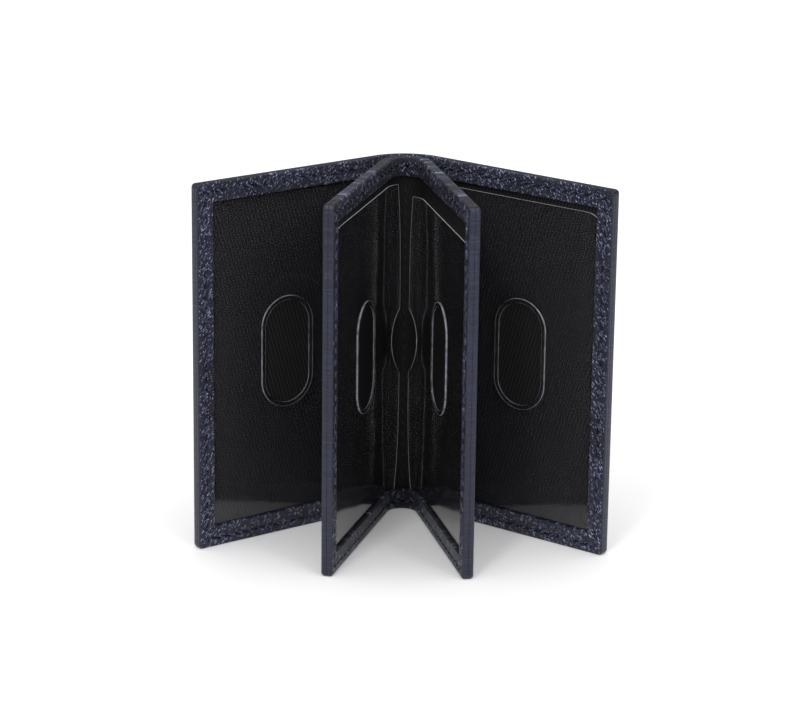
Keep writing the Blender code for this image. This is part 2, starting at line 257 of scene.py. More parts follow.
def turned_leather(name, reach, wrap, thickness, rim, side_strip, edge_round):
    """A flat leather piece whose show face is its low side. wrap is its length behind the hinge,
    and side_strip the width of its strip beside the window, or None for a whole piece."""
    piece = flat_blank(name, -wrap - CUT_SPARE, reach, 0, HEIGHT)
    open_piece(piece)
    to_channel = STITCH_INSET - CHANNEL_WIDTH / 2
    to_window = (side_strip or FRAME_SIDE) - STITCH_INSET - CHANNEL_WIDTH / 2
    for step in (TURNED_EDGE, to_channel - TURNED_EDGE, CHANNEL_WIDTH, to_window):
        bpy.ops.mesh.inset(thickness=step)
    if side_strip:
        bpy.ops.mesh.delete(type="FACE")
        for edge, sign, width in ((0, 1, FRAME_BOTTOM), (HEIGHT, -1, FRAME_TOP)):
            pick(piece, "verts", lambda v: abs(v.co.y - edge - sign * side_strip) < TINY)
            bpy.ops.transform.translate(value=(0, sign * (width - side_strip), 0))
    bpy.ops.mesh.select_all(action="SELECT")
    bpy.ops.mesh.bisect(plane_co=(-wrap, 0, 0), plane_no=(-1, 0, 0), clear_outer=True)
    bpy.ops.mesh.select_all(action="SELECT")
    raise_by(thickness)
    if rim:
        pick(
            piece,
            "faces",
            lambda f: from_edge(f.calc_center_median(), reach) < TURNED_EDGE
            and all(v.co.z > thickness - TINY for v in f.verts),
        )
        raise_by(rim)
    pick(
        piece,
        "faces",
        lambda f: to_channel < from_edge(f.calc_center_median(), reach) < to_channel + CHANNEL_WIDTH
        and all(v.co.z < TINY for v in f.verts),
    )
    raise_by(CHANNEL_DEPTH)
    round_edges(piece, reach, wrap, thickness + rim, edge_round)
    cut_across(-wrap, 0, BEND_CUTS)
    cut_across(0, FRAME_START, START_CUTS)
    return close_piece(piece)


def round_edges(piece, reach, wrap, top, edge_round):
    """Rounds the two outer corners, then the long turned edges, and last the window's edge."""

    def is_corner(edge):
        a, b = (v.co for v in edge.verts)
        upright = (a - b).xy.length < TINY
        return upright and a.x > reach - TINY and (a.y < TINY or a.y > HEIGHT - TINY)

    def is_outline(edge):
        a, b = (v.co for v in edge.verts)
        level = abs(a.z - b.z) < TINY and (a.z < TINY or a.z > top - TINY)
        outer = max(from_edge(a, reach), from_edge(b, reach)) < CORNER_RADIUS / 2
        return level and outer and max(a.x, b.x) > -wrap + TINY

    def is_window(edge):
        a, b = (v.co for v in edge.verts)
        inner = min(from_edge(a, reach), from_edge(b, reach)) > LEAF_FRAME_SIDE - TINY
        one_open = sum(abs(f.normal.z) < 0.5 for f in edge.link_faces) == 1
        return inner and one_open and a.z < TINY and b.z < TINY and max(a.x, b.x) > -wrap + TINY

    pick(piece, "edges", is_corner)
    bpy.ops.mesh.bevel(offset=CORNER_RADIUS, segments=5, affect="EDGES")
    for level, offset in ((0, edge_round), (top, MEETING_ROUND)):
        pick(piece, "edges", lambda e: is_outline(e) and abs(e.verts[0].co.z - level) < TINY)
        bpy.ops.mesh.bevel(offset=offset, segments=4, affect="EDGES")
    pick(piece, "edges", is_window)
    bpy.ops.mesh.bevel(offset=WINDOW_ROUND, segments=2, affect="EDGES")


def mean_wrap(radius, angle):
    """The length of a piece that goes round a bend of that radius."""
    return radius * math.radians(90 - angle)


COVER_WRAP = mean_wrap(SPINE_RADIUS, COVER_ANGLE)
LEAF_ANGLE = LEAF_ANGLES["left"]
FRONT_WRAP = mean_wrap(FOLD_RADIUS + FRAME_LEATHER / 2, LEAF_ANGLE)
BACK_WRAP = mean_wrap(FOLD_RADIUS + LEAF_THICKNESS - FRAME_LEATHER / 2, LEAF_ANGLE)

cover_leather = turned_leather(
    "cover_leather", COVER_REACH, COVER_WRAP, COVER_LEATHER, COVER_RIM, None, COVER_ROUND
)
cover_frame = turned_leather(
    "cover_frame", COVER_REACH, COVER_WRAP, FRAME_LEATHER, 0.0, FRAME_SIDE, FRAME_ROUND
)
front_frame = turned_leather(
    "front_frame",
    LEAF_FLAT_REACH,
    FRONT_WRAP,
    FRAME_LEATHER,
    LEAF_RIM,
    LEAF_FRAME_SIDE,
    LEAF_ROUND,
)
back_frame = turned_leather(
    "back_frame",
    LEAF_FLAT_REACH,
    BACK_WRAP,
    FRAME_LEATHER,
    LEAF_RIM,
    LEAF_FRAME_SIDE,
    LEAF_ROUND,
)

# %% [markdown]
# Behind each window lies a lining cloth, a fine black twill glued flat. It is a plain rectangle
# with a real thickness, cut across where it bends. A cloth simulation would leave it as it is,
# because glue holds it stretched, so it is modelled directly.

# %% Lining cloth
LINING_INSET = 1.7 * MM


def lining_cloth(name, reach, wrap, thickness):
    piece = flat_blank(name, -wrap, reach - LINING_INSET, LINING_INSET, HEIGHT - LINING_INSET)
    open_piece(piece)
    raise_by(thickness)
    cut_across(-wrap, 0, BEND_CUTS)
    cut_across(0, FRAME_START, START_CUTS)
    return close_piece(piece)


COVER_CLOTH = 0.2 * MM
LEAF_CLOTH = 0.3 * MM
LEAF_CLOTH_FACE = 1.25 * MM  # depth of the cloth's show face in a leaf, from the leaf's face
CLOTH_MIDDLE = LEAF_CLOTH_FACE + LEAF_CLOTH / 2
FRONT_LINING_WRAP = mean_wrap(FOLD_RADIUS + CLOTH_MIDDLE, LEAF_ANGLE)
BACK_LINING_WRAP = mean_wrap(FOLD_RADIUS + LEAF_THICKNESS - CLOTH_MIDDLE, LEAF_ANGLE)
cover_lining = lining_cloth("cover_lining", COVER_REACH, COVER_WRAP, COVER_CLOTH)
front_lining = lining_cloth("front_lining", LEAF_FLAT_REACH, FRONT_LINING_WRAP, LEAF_CLOTH)
back_lining = lining_cloth("back_lining", LEAF_FLAT_REACH, BACK_LINING_WRAP, LEAF_CLOTH)

# %% [markdown]
# The windows are clear soft PVC. Each has a round-ended thumb hole with a welded rim that stands a
# little proud, a free top edge with a round outer corner, and on the leaves a free edge by the
# spine with a half-moon cut for a thumb. The rim starts as a circle stretched to a stadium and
# inset to give its profile; the sheet round it is filled in between the outline and the rim.

# %% Clear windows
HOLE_WIDTH = 14.6 * MM
HOLE_HEIGHT = 29.9 * MM
HOLE_Z = 53.0 * MM
RIM_WIDTH = 1.25 * MM
RIM_RISE = 0.32 * MM
RIM_PROFILE = (  # each step inwards: share of the rim's width, and share of its rise
    (0.05, 0.9),
    (0.15, 0.1),
    (0.6, 0.0),
    (0.15, -0.1),
    (0.05, -0.5),
)
RIM_POINTS = 40
RIM_BORDER = 1.5  # in rim widths from the hole: what is nearer belongs to the rim
FILM_CORNER = 5.6 * MM
FILM_INSET = 3.4 * MM  # the film ends this far inside the free edge, under the frame
NOTCH_Z = 51.0 * MM
NOTCH_HALF_HEIGHT = 9.5 * MM
NOTCH_DEPTH = 2.6 * MM
NOTCH_RADIUS = (NOTCH_HALF_HEIGHT**2 + NOTCH_DEPTH**2) / (2 * NOTCH_DEPTH)
EDGE_LINE = 0.28 * MM  # width of the pale line along a cut edge
BOWED_EDGE_CUTS = 110  # points along a free spine edge, enough for a smooth notch
STRAIGHT_EDGE_CUTS = 20
FILM_BEND_CUTS = 12


def spine_edge(height, bow):
    """How far a leaf window's free edge moves at a height: drawn towards the fold at the middle,
    and away from it at the notch."""
    share = (height - HEIGHT / 2) / (HEIGHT / 2)
    inside = NOTCH_RADIUS**2 - (height - NOTCH_Z) ** 2
    notch = math.sqrt(max(inside, 0)) - (NOTCH_RADIUS - NOTCH_DEPTH)
    return max(notch, 0) - bow * (1 - share**4)


def clear_window(name, left, right, top, thickness, hole_reach, bow=0.0):
    """A window whose show face is its low side. bow moves its free spine edge towards the
    fold at mid-height."""
    rim = thumb_rim(hole_reach)
    sheet = flat_blank(name, left, right, LINING_INSET, top)
    open_piece(sheet)
    pick(sheet, "verts", lambda v: v.co.x > right - TINY and v.co.y > top - TINY)
    bpy.ops.mesh.bevel(offset=FILM_CORNER, segments=8, affect="VERTICES")
    pick(sheet, "edges", lambda e: all(v.co.x < left + TINY for v in e.verts))
    bpy.ops.mesh.subdivide(number_cuts=BOWED_EDGE_CUTS if bow else STRAIGHT_EDGE_CUTS)
    pick(sheet, "faces", lambda f: True)
    bpy.ops.mesh.delete(type="ONLY_FACE")
    bpy.ops.object.mode_set(mode="OBJECT")
    for vertex in sheet.data.vertices:
        if bow and vertex.co.x < left + TINY:
            vertex.co.x += spine_edge(vertex.co.y, bow)
    bpy.ops.object.select_all(action="DESELECT")
    rim.select_set(True)
    sheet.select_set(True)
    bpy.context.view_layer.objects.active = sheet
    bpy.ops.object.join()
    open_piece(sheet)
    pick(
        sheet,
        "edges",
        lambda e: e.is_wire or (e.is_boundary and outside_rim(e.verts[0].co, hole_reach, 0.5)),
    )
    bpy.ops.mesh.fill(use_beauty=True)
    bpy.ops.mesh.inset(thickness=EDGE_LINE)
    mesh = bmesh.from_edit_mesh(sheet.data)
    for face in mesh.faces:
        point = face.calc_center_median()
        pale = not face.select and outside_rim(point, hole_reach, RIM_BORDER)
        face.material_index = int(pale)
    bpy.ops.mesh.select_all(action="SELECT")
    bpy.ops.mesh.normals_make_consistent(inside=False)
    raise_by(thickness)
    if left < 0:
        cut_across(left - bow, 0, FILM_BEND_CUTS)
    return close_piece(sheet, FILM_SHARP_ANGLE)


def thumb_rim(hole_reach):
    """The welded rim round the thumb hole: a flat stadium ring whose middle is raised."""
    radius = HOLE_WIDTH / 2 + RIM_WIDTH
    bpy.ops.object.select_all(action="DESELECT")
    bpy.ops.mesh.primitive_circle_add(
        vertices=RIM_POINTS,
        radius=radius,
        fill_type="NGON",
        location=(hole_reach, HOLE_Z, 0),
        rotation=(0, 0, math.pi / RIM_POINTS),
    )
    rim = bpy.context.object
    bpy.ops.object.transform_apply(location=True, rotation=True, scale=True)
    open_piece(rim)
    stretch = (HOLE_HEIGHT - HOLE_WIDTH) / 2
    for sign in (-1, 1):
        pick(rim, "verts", lambda v: sign * (v.co.y - HOLE_Z) > 0)
        bpy.ops.transform.translate(value=(0, sign * stretch, 0))
    for share, rise in RIM_PROFILE:
        pick(rim, "faces", lambda f: len(f.verts) > 4)
        bpy.ops.mesh.inset(thickness=RIM_WIDTH * share, depth=0)
        bpy.ops.transform.translate(value=(0, 0, -RIM_RISE * rise))
    bpy.ops.mesh.delete(type="FACE")
    bpy.ops.object.mode_set(mode="OBJECT")
    return rim


def outside_rim(point, hole_reach, share):
    """True for a point that lies more than that share of the rim's width outside the hole."""
    over = max(abs(point.y - HOLE_Z) - (HOLE_HEIGHT - HOLE_WIDTH) / 2, 0)
    return math.hypot(point.x - hole_reach, over) > HOLE_WIDTH / 2 + RIM_WIDTH * share


COVER_FILM = 0.2 * MM
LEAF_FILM = 0.15 * MM
LEAF_FILM_FACE = 1.0 * MM  # depth of the film's show face in a leaf
COVER_FILM_START = 8.0 * MM
COVER_HOLE = 31.0 * MM
FOLD_START = LEAF_REACH - LEAF_FLAT_REACH
LEAF_HOLE = 29.5 * MM - FOLD_START
FILM_TOPS = {  # the left cover's top edge is caught under the frame, and the others are free
    "left_cover": 101.0 * MM,
    "right_cover": 97.6 * MM,
    "left": 97.0 * MM,
    "right": 93.5 * MM,
    "back": 97.0 * MM,
}
FILM_MIDDLE = LEAF_FILM_FACE + LEAF_FILM / 2
FILM_WRAPS = {
    "front": mean_wrap(FOLD_RADIUS + FILM_MIDDLE, LEAF_ANGLE),
    "back": mean_wrap(FOLD_RADIUS + LEAF_THICKNESS - FILM_MIDDLE, LEAF_ANGLE),
}
FILM_GAP = 3.2 * MM  # from the middle of the fold to a leaf film's free edge, at its ends
FILM_BOW = 1.9 * MM

cover_windows = {}
for name in SIDES:
    cover_windows[name] = clear_window(
        f"flat_{name}_cover_window",
        COVER_FILM_START,
        COVER_REACH - FILM_INSET,
        FILM_TOPS[f"{name}_cover"],
        COVER_FILM,
        COVER_HOLE,
    )
leaf_windows = {}
for use, face in (("left", "front"), ("right", "front"), ("back", "back")):
    leaf_windows[use] = clear_window(
        f"{use}_leaf_window",
        FILM_GAP - FILM_WRAPS[face],
        LEAF_FLAT_REACH - FILM_INSET,
        FILM_TOPS[use],
        LEAF_FILM,
        LEAF_HOLE,
        FILM_BOW,
    )

# %% [markdown]
# The sewing is a saddle stitch in navy thread, about eight stitches to the inch. One stitch is a
# small sphere drawn out along the seam, with its ends sunk in the leather. An Array modifier
# repeats it along each side, which is how a row of equal things is made by hand.

# %% Stitches
STITCH_PITCH = 3.3 * MM
STITCH_LENGTH = 2.4 * MM
THREAD_WIDTH = 0.55 * MM
STITCH_DEPTH = 0.12 * MM
STITCH_SLANT = math.radians(24)
STITCH_SIDES, STITCH_RINGS = 8, 6
STITCH_TIP = 0.42  # share of the length: what is farther out dips into the needle hole


def stitch_row(start, end, depth):
    """A straight row of stitches between two points of a flat piece."""
    run = end - start
    count = round(run.length / STITCH_PITCH)
    step = run / count
    first = start + step / 2
    bpy.ops.object.select_all(action="DESELECT")
    bpy.ops.mesh.primitive_uv_sphere_add(
        segments=STITCH_SIDES,
        ring_count=STITCH_RINGS,
        radius=0.5,
        location=(first.x, first.y, depth),
    )
    stitch = bpy.context.object
    open_piece(stitch)
    bpy.ops.transform.resize(value=(STITCH_LENGTH, THREAD_WIDTH, THREAD_WIDTH))
    pick(stitch, "verts", lambda v: abs(v.co.x) > STITCH_TIP * STITCH_LENGTH)
    bpy.ops.transform.translate(value=(0, 0, THREAD_WIDTH / 3))
    bpy.ops.object.mode_set(mode="OBJECT")
    stitch.rotation_euler.z = math.atan2(run.y, run.x) + STITCH_SLANT
    bpy.ops.object.transform_apply(location=True, rotation=True, scale=True)
    row = stitch.modifiers.new("row", "ARRAY")
    row.count = count
    row.use_relative_offset = False
    row.use_constant_offset = True
    row.constant_offset_displace = (step.x, step.y, 0)
    bpy.ops.object.modifier_apply(modifier="row")
    return stitch


def sewn_seam(name, reach, wrap):
    """The three rows of stitches along a panel's bottom, free edge and top, as one piece."""
    low, high, outer = STITCH_INSET, HEIGHT - STITCH_INSET, reach - STITCH_INSET
    path = (-wrap, low), (outer, low), (outer, high), (-wrap, high)
    corners = [Vector((x, y, 0)) for x, y in path]
    rows = [stitch_row(a, b, STITCH_DEPTH) for a, b in zip(corners, corners[1:])]
    bpy.ops.object.select_all(action="DESELECT")
    for row in rows:
        row.select_set(True)
    bpy.context.view_layer.objects.active = rows[0]
    bpy.ops.object.join()
    rows[0].name = name
    bpy.ops.object.shade_smooth()
    stitches = len(rows[0].data.polygons) // (STITCH_SIDES * STITCH_RINGS)
    print(f"{name}: {stitches} stitches")
    return rows[0]


cover_seam = sewn_seam("cover_seam", COVER_REACH, COVER_WRAP)
front_seam = sewn_seam("front_seam", LEAF_FLAT_REACH, FRONT_WRAP)
back_seam = sewn_seam("back_seam", LEAF_FLAT_REACH, BACK_WRAP)

# %% [markdown]
# Materials come before the folding up, so that each flat piece carries its finish into every copy.
# Two helpers are enough: one turns a colour's hex value into the linear numbers that Blender's
# shaders use, and one adds a node with its settings and links.

# %% Helpers for materials
def linear(hex_colour, alpha=1.0):
    """An sRGB hex colour as linear red, green, blue and alpha."""
    parts = [int(hex_colour[i : i + 2], 16) / 255 for i in (1, 3, 5)]
    return [p / 12.92 if p <= 0.04045 else ((p + 0.055) / 1.055) ** 2.4 for p in parts] + [alpha]


def add_node(tree, kind, settings=None, **inputs):
    """Adds a node. settings are its properties, and inputs are socket values, or sockets to link
    from. An input is named as its socket is, or by the socket's number, as in _0."""
    node = tree.nodes.new(kind)
    for key, value in (settings or {}).items():
        setattr(node, key, value)
    for key, value in inputs.items():
        socket = node.inputs[int(key[1:])] if key[0] == "_" else node.inputs[key.replace("_", " ")]
        if isinstance(value, bpy.types.NodeSocket):
            tree.links.new(value, socket)
        else:
            socket.default_value = value
    return node


def new_material(name):
    """An empty material and its output node."""
    material = bpy.data.materials.new(name)
    material.use_nodes = True
    tree = material.node_tree
    tree.nodes.clear()
    return material, tree, tree.nodes.new("ShaderNodeOutputMaterial")


def colour_steps(ramp, stops):
    """Sets a colour ramp's stops from (position, hex) pairs."""
    elements = ramp.color_ramp.elements
    while len(elements) < len(stops):
        elements.new(1.0)
    for element, (position, hex_colour) in zip(elements, stops):
        element.position = position
        element.color = linear(hex_colour)


# %% [markdown]
# The covers are navy box-grain calf: chrome-tanned, dyed, and pressed under a plate that leaves
# long narrow pebbles between slanting creases. Each pebble catches the light at its own angle,
# which the bump gives, and the colour adds painted light too: painted shade down in the creases and
# small painted glints on the pebble tops. The pattern is laid out on the flat piece, as the plate
# does.
# Two stretched Voronoi textures make the pebbles and the cross creases, a finer noise gives the
# pores, and wide noise varies the dye. The same leather gets three more finishes. The outside of
# the covers has calmer painted glints on its pebble tops. The insert's leather is darker, with a
# coarser grain. Where the leather is pulled tight over an edge its grain is flattened, so the
# turned edges are smooth, with only faint painted shade in their creases and no painted glints.

# %% Navy box-grain leather
PEBBLE_LONG = 1.6 * MM
PEBBLE_SHORT = 0.42 * MM
CREASE_LEANS = (131, 52)  # degrees from the way out: the main creases, and the cross ones
CREASE_SHARES = (0.75, 0.45)  # how much each of them adds to the relief
SHOULDER = 0.38  # share of a pebble's width over which its side rises to the flat top
RELIEF_LOW, RELIEF_HIGH = 0.55, 1.75  # the range of relief and dye that the colours are spread over
NOISE_LOW, NOISE_HIGH = 0.3, 0.7  # nearly all of a noise texture lies between these
PORE = 0.22 * MM
DYE_PATCH = 14 * MM
UV_PER_METRE = 5.0  # keeps the whole flat layout inside one UV tile


def navy_leather(name, size, relief_depth, crease_shade_to_glint_colours, rough):
    """size scales the pebbles and relief_depth is in metres. The colours run from crease to top:
    painted shade down in the creases and painted glints on the tops. rough is (low, high)."""
    material, tree, output = new_material(name)
    layout = add_node(tree, "ShaderNodeUVMap", {"uv_map": "flat"}).outputs[0]
    relief = add_node(
        tree, "ShaderNodeTexNoise", Vector=layout, Scale=1 / (PORE * UV_PER_METRE), Detail=2.0
    ).outputs[0]
    for lean, share in zip(CREASE_LEANS, CREASE_SHARES):
        turned = add_node(
            tree,
            "ShaderNodeMapping",
            {"vector_type": "TEXTURE"},
            Vector=layout,
            Rotation=(0, 0, math.radians(lean)),
            Scale=(size * PEBBLE_LONG * UV_PER_METRE, size * PEBBLE_SHORT * UV_PER_METRE, 1),
        )
        pebble = add_node(
            tree,
            "ShaderNodeTexVoronoi",
            {"feature": "DISTANCE_TO_EDGE"},
            Vector=turned.outputs[0],
            Scale=1.0,
        )
        pillow = add_node(
            tree,
            "ShaderNodeMapRange",
            {"interpolation_type": "SMOOTHSTEP"},
            _0=pebble.outputs[0],
            _2=SHOULDER,
        )
        relief = add_node(
            tree,
            "ShaderNodeMath",
            {"operation": "MULTIPLY_ADD"},
            _0=pillow.outputs[0],
            _1=share,
            _2=relief,
        ).outputs[0]
    bump = add_node(tree, "ShaderNodeBump", Strength=1.0, Distance=relief_depth, Height=relief)
    dye = add_node(
        tree, "ShaderNodeTexNoise", Vector=layout, Scale=1 / (DYE_PATCH * UV_PER_METRE), Detail=4.0
    ).outputs[0]
    shade = add_node(
        tree,
        "ShaderNodeMath",
        {"operation": "MULTIPLY_ADD"},
        _0=dye,
        _1=0.5,
        _2=relief,
    )
    height = add_node(
        tree, "ShaderNodeMapRange", _0=shade.outputs[0], _1=RELIEF_LOW, _2=RELIEF_HIGH
    )
    # painted light: the relief paints shade into the creases and glints onto the pebble tops
    colour = add_node(tree, "ShaderNodeValToRGB", _0=height.outputs[0])
    colour_steps(colour, crease_shade_to_glint_colours)
    gloss = add_node(
        tree,
        "ShaderNodeMapRange",
        _0=dye,
        _1=NOISE_LOW,
        _2=NOISE_HIGH,
        _3=rough[0],
        _4=rough[1],
    )
    shader = add_node(
        tree,
        "ShaderNodeBsdfPrincipled",
        Base_Color=colour.outputs[0],
        Roughness=gloss.outputs[0],
        Normal=bump.outputs[0],
        IOR=1.5,  # a protein fibre under a thin resin finish
    )
    tree.links.new(shader.outputs[0], output.inputs["Surface"])
    return material


# Colours from crease to top: painted shade in the creases and painted glints on the tops, calmer on
# the cover's outside; the turned edges have only faint painted shade in their creases
GRAIN_PAINTED_SHADE_AND_GLINTS = [
    (0.34, "#070A1A"),
    (0.55, "#12183A"),
    (0.7, "#262E5A"),
    (0.79, "#5A628F"),
    (0.92, "#BEC3DE"),
]
INSERT_PAINTED_SHADE_AND_GLINTS = [
    (0.34, "#04060E"),
    (0.55, "#0B0F24"),
    (0.7, "#181D3A"),
    (0.81, "#414870"),
    (0.94, "#A0A6C6"),
]
COVER_PAINTED_SHADE_AND_SHEEN = [(0.3, "#080B1C"), (0.6, "#141B3C"), (0.9, "#2C355E")]
TURNED_PAINTED_CREASE_SHADE = [(0.2, "#090D20"), (0.8, "#1B213E")]
NAVY_LEATHER = navy_leather("navy_box_grain_leather", 1.0, 0.4 * MM, GRAIN_PAINTED_SHADE_AND_GLINTS, (0.24, 0.36))
COVER_LEATHER_FINISH = navy_leather(
    "navy_cover_leather", 1.25, 0.5 * MM, COVER_PAINTED_SHADE_AND_SHEEN, (0.26, 0.38)
)
INSERT_LEATHER = navy_leather("navy_insert_leather", 1.7, 0.5 * MM, INSERT_PAINTED_SHADE_AND_GLINTS, (0.28, 0.4))
TURNED_LEATHER = navy_leather(
    "navy_turned_edge_leather", 1.0, 0.08 * MM, TURNED_PAINTED_CREASE_SHADE, (0.34, 0.42)
)
print("made four finishes of navy leather")

# %% [markdown]
# The lining is a black twill of rayon or polyester. A twill's threads step over one another in
# fine slanting ribs, so under raking light it shows close diagonal lines and little gloss. Besides
# their bump, the ribs are painted lighter on top and darker between, as painted light and shade.
# The ribs follow the cloth, so they read the piece's own flat layout, saved as a UV map before it
# is folded. The insert's lining, which runs round its fold, has the same cloth in a warmer black,
# drawn darker as painted shade of the deep fold between the leaves.

# %% Black twill lining
RIB = 1.1 * MM  # about twice the real pitch, so that it shows
RIB_LEAN = math.radians(-17)  # how far the ribs lean from the upright


def twill_cloth(name, dark, light):
    material, tree, output = new_material(name)
    layout = add_node(tree, "ShaderNodeUVMap", {"uv_map": "flat"}).outputs[0]
    turned = add_node(
        tree, "ShaderNodeMapping", Vector=layout, Rotation=(0, 0, -RIB_LEAN)
    ).outputs[0]
    rib = add_node(
        tree,
        "ShaderNodeTexWave",
        {"wave_type": "BANDS", "bands_direction": "X", "wave_profile": "SIN"},
        Vector=turned,
        Scale=math.pi / (10 * RIB * UV_PER_METRE),
        Distortion=0.3,
        Detail=2.0,
        Detail_Scale=3.0,
    )
    bump = add_node(
        tree, "ShaderNodeBump", Strength=0.8, Distance=0.06 * MM, Height=rib.outputs["Fac"]
    )
    # painted light and shade: each rib is painted lighter on top and darker between
    colour = add_node(tree, "ShaderNodeValToRGB", _0=rib.outputs["Fac"])
    colour_steps(colour, [(0.1, dark), (0.9, light)])
    shader = add_node(
        tree,
        "ShaderNodeBsdfPrincipled",
        Base_Color=colour.outputs[0],
        Roughness=0.75,
        Normal=bump.outputs[0],
        IOR=1.35,  # loose fibres mirror less than solid plastic
    )
    tree.links.new(shader.outputs[0], output.inputs["Surface"])
    return material


# Each pair runs from painted shade between the ribs to painted light on them; the insert's lining
# is a warmer black, drawn darker as painted shade of the deep fold
BLACK_TWILL = twill_cloth("black_twill_lining", "#080808", "#252323")
INSERT_TWILL_PAINTED_DARKER = twill_cloth("warm_black_twill_lining", "#060405", "#110D0D")

# %% [markdown]
# The windows are plasticised PVC film, calendered smooth. It is clear and almost colourless,
# mirrors its surroundings softly, and has a faint ripple that bends those reflections. So thin a
# film doesn't bend what is seen through it, so it is drawn as a see-through sheet with a little
# haze and a mirror on its outside. Where it is cut, the edge is frosted and catches light as a pale
# line, helped by painted light that the edge gives off though it is no lamp. The welded rim of the
# thumb hole is greyer, with fainter painted light.

# %% Clear PVC film and its cut edge
RIPPLE = 22 * MM
NICK = 1.5 * MM  # size of the small marks along a cut edge
HAZE = 0.09  # share of light that each face scatters
MIRROR_GREY = (0.5, 0.5, 0.5, 1)  # a darker mirror that is hit twice as often has less noise
MIRROR_BOOST = 2.1  # makes up for the darker mirror


def clear_pvc():
    material, tree, output = new_material("clear_pvc_film")
    place_in = add_node(tree, "ShaderNodeTexCoord").outputs["Object"]
    ripple = add_node(tree, "ShaderNodeTexNoise", Vector=place_in, Scale=1 / RIPPLE, Detail=1.0)
    bump = add_node(
        tree, "ShaderNodeBump", Strength=0.5, Distance=0.5 * MM, Height=ripple.outputs[0]
    )
    mirror = add_node(
        tree,
        "ShaderNodeBsdfPrincipled",
        Base_Color=MIRROR_GREY,
        Metallic=1.0,  # stands for the whole mirror part, which the Fresnel factor scales
        Roughness=0.1,
        Normal=bump.outputs[0],
    )
    haze = add_node(
        tree, "ShaderNodeBsdfPrincipled", Base_Color=linear("#5C5A5E"), Roughness=0.9, IOR=1.1
    )
    clear = add_node(tree, "ShaderNodeBsdfTransparent", Color=linear("#F1F0F3"))
    body = add_node(
        tree, "ShaderNodeMixShader", _0=HAZE, _1=clear.outputs[0], _2=haze.outputs[0]
    )
    glance = add_node(tree, "ShaderNodeFresnel", IOR=1.53, Normal=bump.outputs[0])
    behind = add_node(tree, "ShaderNodeNewGeometry").outputs["Backfacing"]
    outer = add_node(tree, "ShaderNodeMath", {"operation": "SUBTRACT"}, _0=1.0, _1=behind)
    share = add_node(
        tree,
        "ShaderNodeMath",
        {"operation": "MULTIPLY", "use_clamp": True},
        _0=glance.outputs[0],
        _1=outer.outputs[0],
    )
    both = add_node(
        tree,
        "ShaderNodeMath",
        {"operation": "MULTIPLY", "use_clamp": True},
        _0=share.outputs[0],
        _1=MIRROR_BOOST,
    )
    film = add_node(
        tree, "ShaderNodeMixShader", _0=both.outputs[0], _1=body.outputs[0], _2=mirror.outputs[0]
    )
    tree.links.new(film.outputs[0], output.inputs["Surface"])
    return material


def frosted_edge(name, dark, light, painted_edge_light):
    """The last argument is painted light that the edge gives off, though it is no lamp: it stands
    for the light that a clear sheet pipes to its cut edge from its faces.
    """
    material, tree, output = new_material(name)
    place_in = add_node(tree, "ShaderNodeTexCoord").outputs["Object"]
    nicks = add_node(tree, "ShaderNodeTexNoise", Vector=place_in, Scale=1 / NICK, Detail=3.0)
    colour = add_node(tree, "ShaderNodeValToRGB", _0=nicks.outputs[0])
    colour_steps(colour, [(0.3, dark), (0.7, light)])
    bump = add_node(
        tree, "ShaderNodeBump", Strength=0.4, Distance=0.05 * MM, Height=nicks.outputs[0]
    )
    shader = add_node(
        tree,
        "ShaderNodeBsdfPrincipled",
        Base_Color=colour.outputs[0],
        Roughness=0.35,
        Normal=bump.outputs[0],
        IOR=1.53,
        Emission_Color=(1, 1, 1, 1),
        Emission_Strength=painted_edge_light,
    )
    tree.links.new(shader.outputs[0], output.inputs["Surface"])
    return material


CLEAR_PVC = clear_pvc()
# The last number is the painted light each edge gives off
CUT_EDGE = frosted_edge("frosted_pvc_edge", "#8C8EA0", "#F0F1F8", 0.2)
WELDED_RIM = frosted_edge("welded_pvc_rim", "#4A4C56", "#A2A4AE", 0.02)

# %% [markdown]
# The thread is bonded polyester, three plies twisted, dyed to match the leather and waxed. It has a
# soft gloss and a slanting twist, painted darker in its grooves as painted shade and lighter on its
# ridges as a painted highlight. The seam in the fold is sewn in black. The stiffener inside each
# cover is grey board, pressed from recycled fibre, so it is matt and speckled.

# %% Waxed thread and grey board
PLY_PITCH = 0.3 * MM
PLY_LEAN = (0.6, 0.6, math.radians(45))  # slants across a stitch whichever way its row runs
FIBRE = 0.8 * MM


def waxed_thread(name, dark, light):
    material, tree, output = new_material(name)
    place_in = add_node(tree, "ShaderNodeTexCoord").outputs["Object"]
    turned = add_node(
        tree, "ShaderNodeMapping", Vector=place_in, Rotation=PLY_LEAN
    ).outputs[0]
    twist = add_node(
        tree,
        "ShaderNodeTexWave",
        Vector=turned,
        Scale=math.pi / (10 * PLY_PITCH),
        Distortion=0.5,
    )
    bump = add_node(
        tree, "ShaderNodeBump", Strength=0.7, Distance=0.05 * MM, Height=twist.outputs["Fac"]
    )
    # painted shade in the twist's grooves and a painted highlight on its ridges
    colour = add_node(tree, "ShaderNodeValToRGB", _0=twist.outputs["Fac"])
    colour_steps(colour, [(0.1, dark), (0.9, light)])
    shader = add_node(
        tree,
        "ShaderNodeBsdfPrincipled",
        Base_Color=colour.outputs[0],
        Roughness=0.42,
        Normal=bump.outputs[0],
        IOR=1.5,
    )
    tree.links.new(shader.outputs[0], output.inputs["Surface"])
    return material


